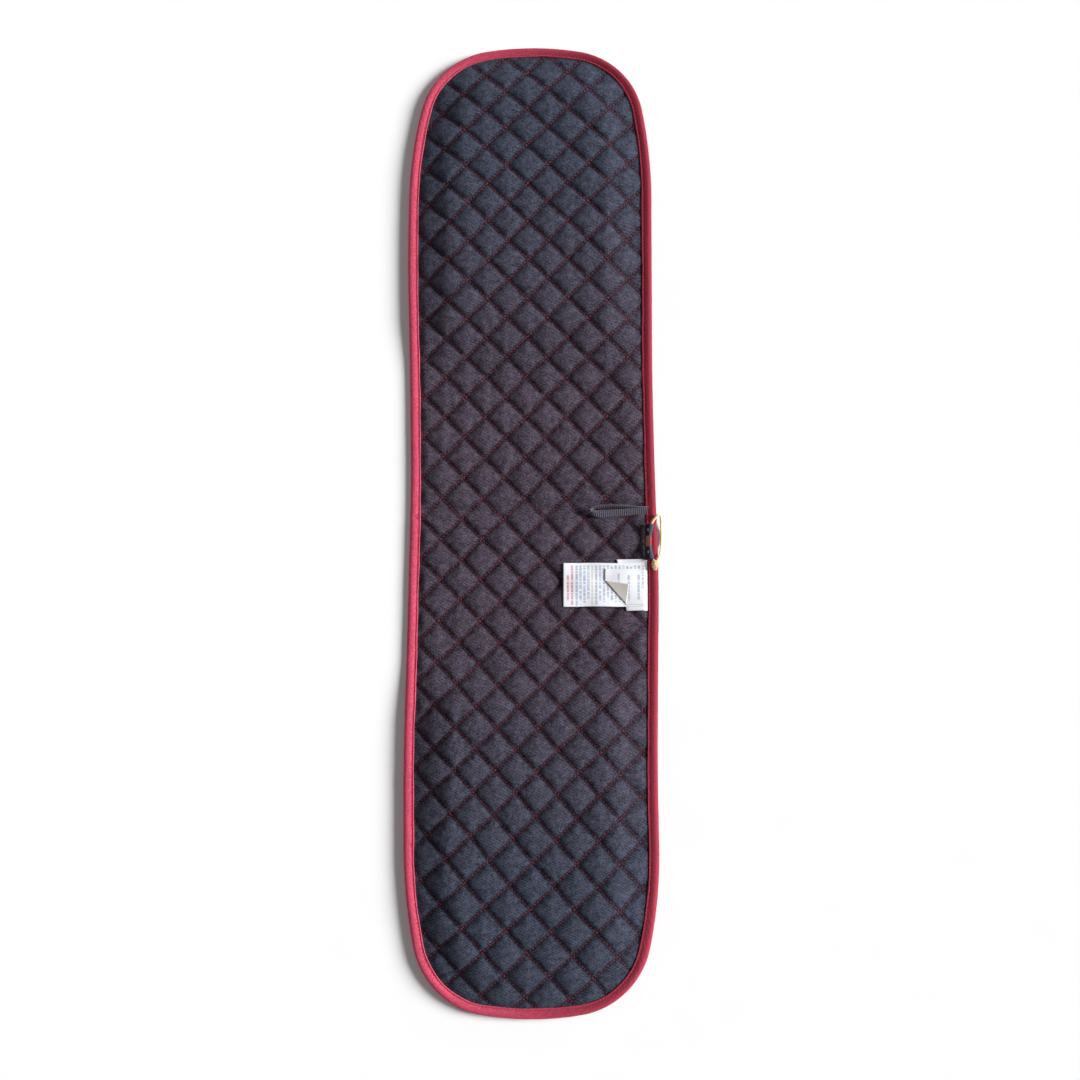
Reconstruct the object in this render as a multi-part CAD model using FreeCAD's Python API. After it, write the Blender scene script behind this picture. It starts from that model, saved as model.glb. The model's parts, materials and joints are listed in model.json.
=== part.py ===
"""Double oven glove: one long quilted pad, bound all round, with a hand pocket under each end.

Row frame, in millimetres: +Z up, +Y along the glove, +X across it. The origin is the middle of the
footprint, on the surface that the glove lies on, with its pockets underneath. The glove folds
across its middle, so every piece that crosses the fold is made as a lower and an upper half.
"""

import FreeCAD
import Part
import math
import os

V = FreeCAD.Vector

# Plan of the glove
LENGTH = 745.0
WIDTH = 190.0
CROWN_RADIUS = 230.0  # the flat curve across each end
CORNER_RADIUS = 62.0
SHOULDER_RADIUS = 360.0  # the slight taper from the straight side into the corner
SHOULDER_DEPTH = 125.0  # from the end of the glove to where the taper starts
FOLD_Y = 9.0
FOLD_GAP = 0.3

# Layers
CLOTH = 0.5
WADDING = 3.4
POCKET_WADDING = 1.8
TAPE = 0.6
THREAD = 0.3
PAD = CLOTH + WADDING + CLOTH
POCKET = CLOTH + POCKET_WADDING + CLOTH

# Binding
TAPE_WIDTH = 8.0
SEAM = 1.0  # from the outside of the binding to the raw edge of the cloth
STITCH_INSET = 6.9  # the row of topstitching, from the outside of the binding

# Heights of the main pad's underside
PAD_FLOOR = TAPE
RIM_TOP = 4.3  # along the edge of a pocket
ROOF = 9.0  # over a pocket

# Pockets, measured along the glove from its middle
MOUTH_Y = 172.5
RIM_START_Y = 170.5
RIM_FOOT_Y = 150.0
ROOF_START_Y = 155.0
RAMP_FOOT_Y = 105.0
SLOPE_OUTER_INSET = 10.0
SLOPE_INNER_INSET = 40.0
RIM_INSET = 9.0
PANEL_INSET = 9.3

# Hanging loop: a tape doubled back on itself, with a round eye at the far end
SEAM_X = 86.7  # where the loop and the care labels leave the binding's seam
LIFT = 0.3  # above the main pad
LOOP_LENGTH = 42.0
LOOP_Y = (0.3, 6.3)
LOOP_TAPE = 0.9
LOOP_EYE = 5.2
LOOP_ROOT_GAP = 0.4

# Care labels, from the lowest to the top one: name, length, low Y, high Y
LABEL_THICK = 0.25
LABEL_STEP = 0.55
CARE_LABELS = (
    ("care_label_back", 24.0, -73.5, -34.5),
    ("care_label_long", 63.5, -70.2, -37.0),
    ("care_label_short", 32.0, -68.0, -41.5),
)

# Side label: a woven ribbon folded into a tunnel, lying over the binding
SIDE_LABEL_X = (86.9, 93.3)
SIDE_LABEL_Y = (-33.5, -7.5)
SIDE_LABEL_HEIGHT = 4.2
SIDE_LABEL_THICK = 0.5
SIDE_LABEL_LIFT = 0.35  # above the binding

# Tag string: both ends are in the knot; one strand runs through the side label's tunnel, and the
# other drops over the edge of the glove to the surface it lies on
STRING_RADIUS = 0.65
STRING_ROUTE = (
    (93.2, -37.0, 7.7),
    (91.2, -33.2, 7.5),
    (90.2, -27.0, 7.4),
    (90.4, -20.0, 7.4),
    (90.2, -13.0, 7.4),
    (90.9, -7.0, 7.6),
    (93.2, -3.4, 7.6),
    (96.0, -1.5, 6.6),
    (98.2, -2.6, 4.0),
    (98.5, -7.5, 1.5),
    (98.9, -13.5, 0.67),
    (98.7, -20.5, 0.67),
    (98.2, -26.5, 1.9),
    (97.0, -31.5, 4.9),
    (95.2, -35.0, 7.2),
    (93.9, -37.8, 7.7),
)
KNOT_CENTRE = (93.4, -39.0, 7.7)
KNOT_RADII = (2.0, 4.3, 1.8)

FAR = 600.0  # longer than the glove
PAD_TOP = PAD_FLOOR + PAD
BINDING_TOP = PAD_TOP + TAPE


def box(x, y, z):
    """A box between two values of each coordinate."""
    return Part.makeBox(x[1] - x[0], y[1] - y[0], z[1] - z[0], V(x[0], y[0], z[0]))


def meeting_point(a, ra, b, rb):
    """Where two circles meet, on the side nearer to the end of the glove's corner."""
    gap = b - a
    d = gap.Length
    along = (d * d + ra * ra - rb * rb) / (2 * d)
    off = math.sqrt(ra * ra - along * along)
    u = gap / d
    return a + u * along + V(-u.y, u.x, 0) * off


def arc(centre, radius, start, end):
    """The shorter arc between two points on a circle."""
    middle = (start - centre) + (end - centre)
    middle.normalize()
    return Part.Arc(start, centre + middle * radius, end).toShape()


def quarter(inset, z):
    """The outline from the start of the shoulder to the middle of the +Y end, at X above 0."""
    crown = V(0, LENGTH / 2 - CROWN_RADIUS, 0)
    shoulder = V(WIDTH / 2 - SHOULDER_RADIUS, LENGTH / 2 - SHOULDER_DEPTH, 0)
    corner = meeting_point(
        shoulder, SHOULDER_RADIUS - CORNER_RADIUS, crown, CROWN_RADIUS - CORNER_RADIUS
    )
    to_corner = corner - shoulder
    to_corner.normalize()
    to_crown = corner - crown
    to_crown.normalize()
    lift = V(0, 0, z)
    start = shoulder + V(SHOULDER_RADIUS - inset, 0, 0) + lift
    first = shoulder + to_corner * (SHOULDER_RADIUS - inset) + lift
    second = crown + to_crown * (CROWN_RADIUS - inset) + lift
    top = V(0, LENGTH / 2 - inset, z)
    edges = [
        arc(shoulder + lift, SHOULDER_RADIUS - inset, start, first),
        arc(corner + lift, CORNER_RADIUS - inset, first, second),
        arc(crown + lift, CROWN_RADIUS - inset, second, top),
    ]
    return edges, start


def mirrored(edges, normal):
    return [e.mirror(V(0, 0, 0), normal) for e in edges]


def end_wire(inset, cut_y, z):
    """The outline of the +Y end beyond cut_y, closed by a straight line."""
    right, start = quarter(inset, z)
    left = mirrored(right, V(1, 0, 0))
    a, b = V(start.x, cut_y, z), V(-start.x, cut_y, z)
    edges = [Part.makeLine(a, start)] + right
    edges += left[::-1] + [Part.makeLine(V(-start.x, start.y, z), b), Part.makeLine(b, a)]
    return Part.Wire(Part.__sortEdges__(edges))


def end_prism(inset, cut_y, z):
    """The +Y end of the glove beyond cut_y, as a prism between two heights."""
    face = Part.Face(end_wire(inset, cut_y, z[0]))
    return face.extrude(V(0, 0, z[1] - z[0]))


def outline_prism(inset, z):
    """The whole outline of the glove, as a prism between two heights."""
    end = end_prism(inset, 0, z)
    return end.fuse(end.mirror(V(0, 0, 0), V(0, 1, 0))).removeSplitter()


def below_pad(level):
    """All the space under the main pad's underside raised by level."""
    slab = box((-FAR, FAR), (-FAR, FAR), (-FAR, PAD_FLOOR + level))
    profile = [
        V(-FAR, FAR, -FAR),
        V(-FAR, FAR, RIM_TOP + level),
        V(-FAR, RIM_START_Y, RIM_TOP + level),
        V(-FAR, RIM_FOOT_Y, PAD_FLOOR + level),
        V(-FAR, RIM_FOOT_Y, -FAR),
    ]
    rim = Part.Face(Part.makePolygon(profile + profile[:1])).extrude(V(2 * FAR, 0, 0))
    foot = end_wire(SLOPE_OUTER_INSET, RAMP_FOOT_Y, PAD_FLOOR + level)
    top = end_wire(SLOPE_INNER_INSET, ROOF_START_Y, ROOF + level)
    tent = Part.makeLoft([foot, top], True, True)
    ends = [rim, tent]
    ends += [s.mirror(V(0, 0, 0), V(0, 1, 0)) for s in ends]
    return slab.fuse(ends).removeSplitter()


def half_space(side):
    """The part of the glove on one side of the fold: side is -1 for lower, 1 for upper."""
    near = FOLD_Y + side * FOLD_GAP / 2
    y = (near, FAR) if side > 0 else (-FAR, near)
    return box((-FAR, FAR), y, (-FAR, FAR))


def save(name, shape):
    """Writes one node, after checking that it is closed solids of positive volume."""
    solids = shape.Solids
    if not solids or not shape.isValid() or min(s.Volume for s in solids) <= 0:
        raise RuntimeError(name + " isn't a valid solid")
    shape = solids[0] if len(solids) == 1 else Part.makeCompound(solids)
    shape.exportStep("parts/%s.step" % name)
    low, high = shape.BoundBox.ZMin, shape.BoundBox.ZMax
    print("%-22s %d solid %9.1f mm3  z %.2f to %.2f" % (name, len(solids), shape.Volume, low, high))


def main_pad():
    """The pad's three layers, its binding and the binding's thread, each in two halves."""
    levels = [0, CLOTH, CLOTH + WADDING, PAD, PAD + TAPE, PAD + TAPE + THREAD]
    below = {level: below_pad(level) for level in levels}
    cloth = outline_prism(SEAM, (0, 40))
    layers = {
        "front_cloth": below[CLOTH].cut(below[0]).common(cloth),
        "wadding": below[CLOTH + WADDING].cut(below[CLOTH]).common(cloth),
        "back_cloth": below[PAD].cut(below[CLOTH + WADDING]).common(cloth),
    }
    ring = outline_prism(0, (0, 40)).cut(outline_prism(TAPE_WIDTH, (-1, 41)))
    held = below[PAD].common(outline_prism(SEAM, (TAPE, 40)))
    layers["edge_binding"] = ring.common(below[PAD + TAPE]).cut(held)
    row = outline_prism(STITCH_INSET - THREAD / 2, (0, 40))
    row = row.cut(outline_prism(STITCH_INSET + THREAD / 2, (-1, 41)))
    raised = below[PAD + TAPE + THREAD].cut(below[PAD + TAPE])
    layers["binding_thread"] = row.common(raised)
    for name, shape in layers.items():
        save(name + "_lower", shape.common(half_space(-1)))
        save(name + "_upper", shape.common(half_space(1)))


def pocket(side, end):
    """One hand pocket: its sewn rim, and the panel that lifts, with the tape round its mouth."""

    def place(shape):
        return shape if side > 0 else shape.mirror(V(0, 0, 0), V(0, 1, 0))

    z = TAPE
    rim = end_prism(SEAM, MOUTH_Y, (z, RIM_TOP)).cut(end_prism(RIM_INSET, 0, (z - 1, RIM_TOP + 1)))
    save("pocket_rim_" + end, place(rim))
    for name, thick in (("face", CLOTH), ("wadding", POCKET_WADDING), ("lining", CLOTH)):
        save("pocket_%s_%s" % (name, end), place(end_prism(PANEL_INSET, MOUTH_Y, (z, z + thick))))
        z += thick
    x = WIDTH / 2 - PANEL_INSET
    tape = box((-x, x), (MOUTH_Y - TAPE, MOUTH_Y + TAPE_WIDTH), (0, TAPE + POCKET + TAPE))
    tape = tape.cut(box((-FAR, FAR), (MOUTH_Y, FAR), (TAPE, TAPE + POCKET)))
    save("mouth_binding_" + end, place(tape))


def hanging_loop():
    """A tape doubled back on itself, lying on the main pad, with both ends in the binding's seam."""
    z = PAD_TOP + LIFT
    far_x = SEAM_X - LOOP_LENGTH
    outer = leaf(far_x, z, LOOP_EYE + 2 * LOOP_TAPE, LOOP_ROOT_GAP + 2 * LOOP_TAPE)
    inner = leaf(far_x + LOOP_TAPE, z + LOOP_TAPE, LOOP_EYE, LOOP_ROOT_GAP)
    save("hanging_loop", outer.cut(inner))


def leaf(far_x, z, eye, root):
    """A bar from the seam to far_x, as wide as the loop, that thickens from root to a round eye."""
    eye_x = far_x + eye / 2
    corners = [(eye_x, z), (SEAM_X, z), (SEAM_X, z + root), (eye_x, z + eye), (eye_x, z)]
    points = [V(x, LOOP_Y[0], height) for x, height in corners]
    width = LOOP_Y[1] - LOOP_Y[0]
    bar = Part.Face(Part.makePolygon(points)).extrude(V(0, width, 0))
    nose = Part.makeCylinder(eye / 2, width, V(eye_x, LOOP_Y[0], z + eye / 2), V(0, 1, 0))
    return bar.fuse(nose).removeSplitter()


def care_labels():
    """Satin labels stacked in the same seam."""
    for i, (name, length, low, high) in enumerate(CARE_LABELS):
        z = PAD_TOP + LIFT + i * LABEL_STEP
        save(name, box((SEAM_X - length, SEAM_X), (low, high), (z, z + LABEL_THICK)))


def oval_bar(x, y, z0, height):
    """A bar along Y whose section is a flat oval."""
    r = height / 2
    a, b = V(x[0] + r, y[0], z0), V(x[1] - r, y[0], z0)
    up = V(0, 0, height)
    edges = [
        Part.makeLine(a, b),
        Part.Arc(b, V(x[1], y[0], z0 + r), b + up).toShape(),
        Part.makeLine(b + up, a + up),
        Part.Arc(a + up, V(x[0], y[0], z0 + r), a).toShape(),
    ]
    return Part.Face(Part.Wire(edges)).extrude(V(0, y[1] - y[0], 0))


def side_label():
    """The woven ribbon's tunnel."""
    z = BINDING_TOP + SIDE_LABEL_LIFT
    t = SIDE_LABEL_THICK
    outer = oval_bar(SIDE_LABEL_X, SIDE_LABEL_Y, z, SIDE_LABEL_HEIGHT)
    inside_x = (SIDE_LABEL_X[0] + t, SIDE_LABEL_X[1] - t)
    inside_y = (SIDE_LABEL_Y[0] - 1, SIDE_LABEL_Y[1] + 1)
    inner = oval_bar(inside_x, inside_y, z + t, SIDE_LABEL_HEIGHT - 2 * t)
    save("side_label", outer.cut(inner))


def rounded_path(points):
    """Straight runs joined by tangent arcs, each as large as its two runs allow."""
    edges, radii, last = [], [], points[0]
    for before, at, after in zip(points, points[1:], points[2:]):
        into, out = at - before, after - at
        short = min(into.Length, out.Length)
        turn = into.getAngle(out)
        reach = 0.45 * short
        radii.append(reach / math.tan(turn / 2))
        into.normalize()
        out.normalize()
        a, b = at - into * reach, at + out * reach
        centre = a + (out - into * math.cos(turn)).normalize() * radii[-1]
        to_corner = at - centre
        to_corner.normalize()
        edges += [Part.makeLine(last, a), Part.Arc(a, centre + to_corner * radii[-1], b).toShape()]
        last = b
    edges.append(Part.makeLine(last, points[-1]))
    return Part.Wire(edges), radii


def tag_string():
    """The string's tube and its knot."""
    path, radii = rounded_path([V(*p) for p in STRING_ROUTE])
    first = path.Edges[0]
    start = first.FirstParameter
    circle = Part.makeCircle(STRING_RADIUS, first.valueAt(start), first.tangentAt(start))
    tube = path.makePipeShell([Part.Wire(circle)], True, False)
    expected = math.pi * STRING_RADIUS**2 * path.Length
    print("string: length %.1f, radii %s" % (path.Length, [round(r, 1) for r in radii]))
    print("string: volume %.1f, section times length %.1f" % (tube.Volume, expected))
    save("tag_string", tube)
    knot = Part.makeSphere(1)
    scale = FreeCAD.Matrix()
    scale.scale(*KNOT_RADII)
    knot = knot.transformGeometry(scale)
    knot.translate(V(*KNOT_CENTRE))
    save("string_knot", knot)


os.makedirs("parts", exist_ok=True)
main_pad()
pocket(-1, "lower")
pocket(1, "upper")
hanging_loop()
care_labels()
side_label()
tag_string()
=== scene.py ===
"""Looks of the double oven glove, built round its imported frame.

Shapes are worked out in millimetres in the row frame and turned into metres when a mesh is made.
"""

import json
from math import atan2, copysign, cos, pi, radians, sin, sqrt

import bpy
import numpy as np
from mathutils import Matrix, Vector


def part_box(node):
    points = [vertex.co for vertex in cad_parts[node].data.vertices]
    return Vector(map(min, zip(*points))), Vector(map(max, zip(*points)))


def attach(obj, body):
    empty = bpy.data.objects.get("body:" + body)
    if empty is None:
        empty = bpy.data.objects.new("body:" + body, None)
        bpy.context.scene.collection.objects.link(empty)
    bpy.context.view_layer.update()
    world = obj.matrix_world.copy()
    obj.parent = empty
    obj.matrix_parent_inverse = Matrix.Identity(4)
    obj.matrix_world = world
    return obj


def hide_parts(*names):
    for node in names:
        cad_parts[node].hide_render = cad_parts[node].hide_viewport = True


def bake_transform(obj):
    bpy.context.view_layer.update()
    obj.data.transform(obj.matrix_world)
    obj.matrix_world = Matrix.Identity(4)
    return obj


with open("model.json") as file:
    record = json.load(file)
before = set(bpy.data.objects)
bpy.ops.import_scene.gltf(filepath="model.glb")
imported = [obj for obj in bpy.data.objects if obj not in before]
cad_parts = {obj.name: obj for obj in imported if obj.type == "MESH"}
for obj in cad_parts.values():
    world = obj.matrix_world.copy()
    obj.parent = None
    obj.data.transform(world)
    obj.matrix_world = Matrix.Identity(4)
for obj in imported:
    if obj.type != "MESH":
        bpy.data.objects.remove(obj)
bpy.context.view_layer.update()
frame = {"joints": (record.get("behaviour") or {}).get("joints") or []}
MM = 0.001
RNG = np.random.default_rng(11)


def node_box(name):
    """A CAD node's lowest and highest corners, in millimetres."""
    low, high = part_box(name)
    return np.array(low) / MM, np.array(high) / MM


# ---- sizes, in millimetres

HALF_WIDTH, HALF_LENGTH = node_box("edge_binding_upper")[1][:2]
FOLD_Y = frame["joints"][0]["pos_m"][1] / MM
MOUTH_Y = node_box("pocket_face_upper")[0][1]
SEAM_X = node_box("care_label_long")[1][0]

CROWN_RADIUS = 230.0
CORNER_RADIUS = 62.0
SHOULDER_RADIUS = 360.0
SHOULDER_DEPTH = 125.0

TAPE_WIDTH = 8.0
CLOTH_EDGE = 2.6  # how far inside the glove's edge its cloths end, under the tape
STITCH_INSET = 6.7
STITCH_PITCH = 2.9

SEAMS_U, SEAMS_V = range(-13, 16), range(-15, 17)  # numbers of the quilting lines in each set
CELL_STEPS = 12  # mesh squares along each side of a quilted diamond
SEAM_THICK = 1.8  # of the pad, at its quilting seams
SEAM_FLOOR = 1.5  # height of the front cloth at the seams, in the middle of the glove
SHELF_FLOOR = 2.9  # the same beside the binding round a pocket
ROOF_FLOOR = 9.4  # the same over a pocket
PUFF = 2.9  # how far the back cloth rises between the seams
FULL_PUFF = 3.4  # how far the free cloth swells where that rise is whole
RAMP_START, RAMP_END = 105.0, 160.0  # the pad rises over the pockets between these, along Y


def smooth(t):
    """0 up to t = 0, 1 from t = 1, and a soft step between."""
    t = np.clip(t, 0.0, 1.0)
    return t * t * (3 - 2 * t)


def bell(t):
    """1 at t = 0, falling to nothing on both sides."""
    return np.exp(-(t**2))


def xyz(x, y, z):
    """Points from their three numbers."""
    return np.stack([x, y, z], -1)


def unit(directions):
    """Directions brought to length 1."""
    return directions / np.linalg.norm(directions, axis=-1, keepdims=True)


def through(y, knots):
    """A soft curve through a few (place, value) pairs."""
    places, values = zip(*knots)
    near = [np.interp(y + shift, places, values) for shift in np.linspace(-30, 30, 13)]
    return np.mean(near, axis=0)


# ---- plan

# Sideways sway of the whole glove along its length, and how its width varies
SWAY = ((-372, 0.3), (-280, 0.4), (-190, -0.8), (-130, 0.2), (-55, 1.7))
SWAY += ((20, 1.2), (90, -0.2), (208, -1.7), (300, -0.6), (372, 1.4))
SLIM = ((-372, 1.0), (-40, 1.0), (20, 0.982), (115, 0.984), (200, 1.0), (330, 0.995), (372, 0.99))


def warp(x, y):
    """Where a place of the straight glove is on the swaying one."""
    return x * through(y, SLIM) + through(y, SWAY), y


def unwarp(x, y):
    """The way back from warp."""
    return (x - through(y, SWAY)) / through(y, SLIM), y


def arc_centres():
    """Centres of the shoulder, corner and crown arcs at the +X +Y corner of the glove."""
    shoulder = np.array([HALF_WIDTH - SHOULDER_RADIUS, HALF_LENGTH - SHOULDER_DEPTH])
    crown = np.array([0.0, HALF_LENGTH - CROWN_RADIUS])
    ra, rb = SHOULDER_RADIUS - CORNER_RADIUS, CROWN_RADIUS - CORNER_RADIUS
    d = np.hypot(*(crown - shoulder))
    along = (d * d + ra * ra - rb * rb) / (2 * d)
    off = sqrt(ra * ra - along * along)
    way = (crown - shoulder) / d
    corner = shoulder + way * along + np.array([-way[1], way[0]]) * off
    return shoulder, corner, crown


SHOULDER, CORNER, CROWN = arc_centres()


def inset(x, y):
    """How far inside the glove's edge a place is."""
    x, y = unwarp(x, y)
    p = np.stack([np.abs(x), np.abs(y)], -1)
    from_crown = CROWN_RADIUS - np.linalg.norm(p - CROWN, axis=-1)
    from_side = SHOULDER_RADIUS - np.linalg.norm(p - SHOULDER, axis=-1)
    from_side = np.where(p[..., 1] < SHOULDER[1], HALF_WIDTH - p[..., 0], from_side)
    found = np.minimum(from_crown, from_side)
    to_a, to_b = CORNER - SHOULDER, CORNER - CROWN
    rel_a, rel_b = p - SHOULDER, p - CROWN
    above = to_a[0] * rel_a[..., 1] - to_a[1] * rel_a[..., 0] > 0
    right = to_b[0] * rel_b[..., 1] - to_b[1] * rel_b[..., 0] < 0
    from_corner = CORNER_RADIUS - np.linalg.norm(p - CORNER, axis=-1)
    return np.where(above & right, from_corner, found)


def outline(step):
    """Places round the glove's edge, anticlockwise, with their outward directions."""
    a1 = atan2(*(CORNER - SHOULDER)[::-1])
    a2 = atan2(*(CORNER - CROWN)[::-1])
    side = np.arange(0, SHOULDER[1], step)
    points = [np.stack([np.full_like(side, HALF_WIDTH), side], -1)]
    normals = [np.tile([1.0, 0.0], (len(side), 1))]
    spans = ((SHOULDER, SHOULDER_RADIUS, 0, a1), (CORNER, CORNER_RADIUS, a1, a2))
    spans += ((CROWN, CROWN_RADIUS, a2, pi / 2),)
    for centre, radius, start, end in spans:
        count = max(2, round(radius * (end - start) / step))
        angle = start + (end - start) * np.arange(count) / count
        out = np.stack([np.cos(angle), np.sin(angle)], -1)
        points.append(centre + radius * out)
        normals.append(out)

    def all_round(quarters, top, left):
        quarter = np.concatenate(quarters)
        half = np.concatenate([quarter, [top], quarter[:0:-1] * (-1, 1)])
        return np.concatenate([half, [left], half[:0:-1] * (1, -1)])

    points = all_round(points, (0.0, HALF_LENGTH), (-HALF_WIDTH, 0.0))
    return points, all_round(normals, (0.0, 1.0), (-1.0, 0.0))


# ---- quilting lattice

def lattice(x, y):
    """Numbers of the two sets of quilting lines at a place: whole numbers are seams."""
    x, y = x / 100, y / 100
    top, bottom = smooth((y - 2.2) / 1.2), smooth((-y - 1.9) / 1.3)
    u = 0.797 + 3.235 * x + 3.113 * y + 0.021 * y * y - 0.028 * x * y
    v = 0.581 + 3.195 * x - 3.249 * y + 0.038 * x * y
    u = u + (0.12 - 0.22 * x) * top + (0.19 - 0.18 * x) * bottom
    v = v - 0.15 * x * top - (0.076 + 0.176 * x) * bottom
    return u, v


def place(u, v):
    """The place whose lattice numbers are u and v, by Newton's method."""
    x, y = np.zeros_like(u), np.zeros_like(u)
    for _ in range(6):
        fu, fv = lattice(x, y)
        ux, vx = (np.subtract(a, b) for a, b in zip(lattice(x + 1, y), (fu, fv)))
        uy, vy = (np.subtract(a, b) for a, b in zip(lattice(x, y + 1), (fu, fv)))
        det = ux * vy - uy * vx
        du, dv = u - fu, v - fv
        x, y = x + (du * vy - dv * uy) / det, y + (dv * ux - du * vx) / det
    return x, y


DRAW_CENTRE = (6.4, -139.0)  # where the pad climbs, its quilting draws in towards this place
DRAW_LENGTH = 1056.0  # by its climb over this length
CLIMB_MIDDLE = 2.7  # the climb at which the quilting neither draws in nor spreads


def waver(x, y):
    """Where a place of the lattice is on the pad: its seams wander a little, and draw in as it climbs."""
    dx = 0.35 * np.sin(y / 23 + x / 31) + 0.25 * np.sin(y / 11 - x / 17 + 2)
    dy = 0.35 * np.sin(x / 19 - y / 27 + 1) + 0.25 * np.sin(x / 9 + y / 14)
    climb = (ROOF_FLOOR - SEAM_FLOOR) * over_pocket(y) - CLIMB_MIDDLE
    new_x = x + dx - (x - DRAW_CENTRE[0]) * climb / DRAW_LENGTH
    return new_x, y + dy - (y - DRAW_CENTRE[1]) * climb / DRAW_LENGTH


def compact(faces):
    """The points that some faces use, and the faces numbered by them."""
    used, faces = np.unique(faces, return_inverse=True)
    return used, faces.reshape(-1, 4)


def cut_cloth(keep):
    """A grid in line with the quilting, of the squares whose corners all pass keep(x, y).

    Returns each point's place and grid numbers, and the faces.
    """
    steps = [np.arange(seams[0] * CELL_STEPS, seams[-1] * CELL_STEPS) for seams in (SEAMS_U, SEAMS_V)]
    i, j = np.meshgrid(*steps, indexing="ij")
    x, y = waver(*place(i / CELL_STEPS, j / CELL_STEPS))
    ok = keep(x, y)
    square = ok[:-1, :-1] & ok[1:, :-1] & ok[1:, 1:] & ok[:-1, 1:]
    number = np.arange(i.size).reshape(i.shape)
    corners = [number[:-1, :-1], number[:-1, 1:], number[1:, 1:], number[1:, :-1]]
    used, faces = compact(np.stack([c[square] for c in corners], -1))
    return x.ravel()[used], y.ravel()[used], i.ravel()[used], j.ravel()[used], faces


# ---- heights

def over_pocket(y):
    """0 in the middle of the glove, 1 over the pockets."""
    return smooth((np.abs(y) - RAMP_START) / (RAMP_END - RAMP_START))


def edge_levels(y):
    """Heights of the cloth's underside and top where the binding grips it: more over a pocket."""
    up = over_pocket(y)
    return 0.85 + 1.75 * up, 2.9 + 2.3 * up


def crease(x, y):
    """The pad sinks along the line it's folded at, with small folds fanning out from the left."""
    line = FOLD_Y - 4 + 0.03 * x + 1.2 * np.sin(x / 18)
    sink = 1.6 * bell((y - line) / 4.0)
    left = smooth((-x - 35) / 50)
    for slope, strength in ((0.22, 0.6), (-0.3, 0.6), (0.02, 0.9)):
        ridge = line + (x + 95) * slope
        sink = sink + left * strength * bell((y - ridge) / 2.2)
    return sink


def drift(x, y):
    """Slow unevenness of a cloth lying on a table."""
    return 0.45 * np.sin(x / 38 + 1) * np.sin(y / 52) + 0.3 * np.sin(y / 33 - x / 60)


def pad_levels(x, y):
    """Heights of the front cloth and the back cloth at the quilting seams."""
    depth = inset(x, y)
    low_edge, high_edge = edge_levels(y)
    rise = smooth((depth - TAPE_WIDTH + 1) / 32) * over_pocket(y)
    loft = smooth((depth - TAPE_WIDTH + 0.5) / 7)
    floor = SEAM_FLOOR + (SHELF_FLOOR - SEAM_FLOOR) * over_pocket(y)
    floor = floor + (ROOF_FLOOR - SHELF_FLOOR) * rise
    top = floor + SEAM_THICK + loft * (drift(x, y) * 0.6 - crease(x, y) * 0.5)
    return low_edge + (floor - low_edge) * loft, high_edge + (top - high_edge) * loft


# ---- meshes

def put(name, data):
    """A new object in the scene."""
    obj = bpy.data.objects.new(name, data)
    bpy.context.scene.collection.objects.link(obj)
    return obj


def new_mesh(name, points, faces, material):
    """A mesh object from points in millimetres and four-sided faces: a last corner of -1 makes a triangle."""
    mesh = bpy.data.meshes.new(name)
    points, faces = np.asarray(points, float), np.asarray(faces)
    mesh.vertices.add(len(points))
    mesh.vertices.foreach_set("co", (points * MM).ravel())
    corners = faces[faces >= 0]
    sides = (faces >= 0).sum(1)
    mesh.loops.add(len(corners))
    mesh.loops.foreach_set("vertex_index", corners)
    mesh.polygons.add(len(faces))
    mesh.polygons.foreach_set("loop_start", np.cumsum(sides) - sides)
    mesh.polygons.foreach_set("use_smooth", np.full(len(faces), True))
    mesh.update(calc_edges=True)
    mesh.validate()
    mesh.materials.append(material)
    return put(name, mesh)


def point_value(obj, name, values):
    """Gives a mesh one number a point, which its material reads."""
    obj.data.attributes.new(name, "FLOAT", "POINT").data.foreach_set("value", np.asarray(values, np.float32))


def rim_edges(faces):
    """The directed edges that belong to one face only."""
    pairs = np.concatenate([faces[:, [k, (k + 1) % 4]] for k in range(4)])
    key = np.sort(pairs, axis=1)
    _, first, count = np.unique(key, axis=0, return_index=True, return_counts=True)
    return pairs[first[count == 1]]


def closed_pad(top, bottom, faces):
    """Points and faces of a closed form from two skins with the same grid."""
    count = len(top)
    rim = rim_edges(faces)
    sides = np.stack([rim[:, 1], rim[:, 0], rim[:, 0] + count, rim[:, 1] + count], -1)
    return np.concatenate([top, bottom]), np.concatenate([faces, faces[:, ::-1] + count, sides])


def tube(sections, ends=True):
    """Points and faces of a tube: sections holds a ring of points for each place along it.

    With ends, two more points close it.
    """
    rings, sides = sections.shape[:2]
    number = np.arange(rings * sides).reshape(rings, sides)
    right = np.roll(number, -1, axis=1)
    quads = np.stack([number[:-1], number[1:], right[1:], right[:-1]], -1).reshape(-1, 4)
    points = sections.reshape(-1, 3)
    if not ends:
        return points, quads
    first = np.stack([0 * number[0] + len(points), number[0], right[0], 0 * number[0] - 1], -1)
    last = np.stack([0 * number[0] + len(points) + 1, right[-1], number[-1], 0 * number[0] - 1], -1)
    middles = [sections[0].mean(0), sections[-1].mean(0)]
    return np.concatenate([points, middles]), np.concatenate([quads, first, last])


def combined(parts):
    """Points and faces of several forms, as one form."""
    before = np.cumsum([0] + [len(points) for points, _ in parts])
    faces = [np.where(quads < 0, -1, quads + count) for (_, quads), count in zip(parts, before)]
    return np.concatenate([points for points, _ in parts]), np.concatenate(faces)


def walk(path):
    """How far along a path each of its places is."""
    return np.concatenate([[0], np.cumsum(np.linalg.norm(np.diff(path, axis=0), axis=1))])


def resample(at, walked, rows):
    """Rows of values, one for each distance in walked, read at other distances."""
    return np.stack([np.interp(at, walked, column) for column in rows.T], -1)


def at_height(places, height):
    """Flat places or directions given a third number."""
    return np.column_stack([places, np.full(len(places), height, float)])


# ---- cloth simulation

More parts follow.
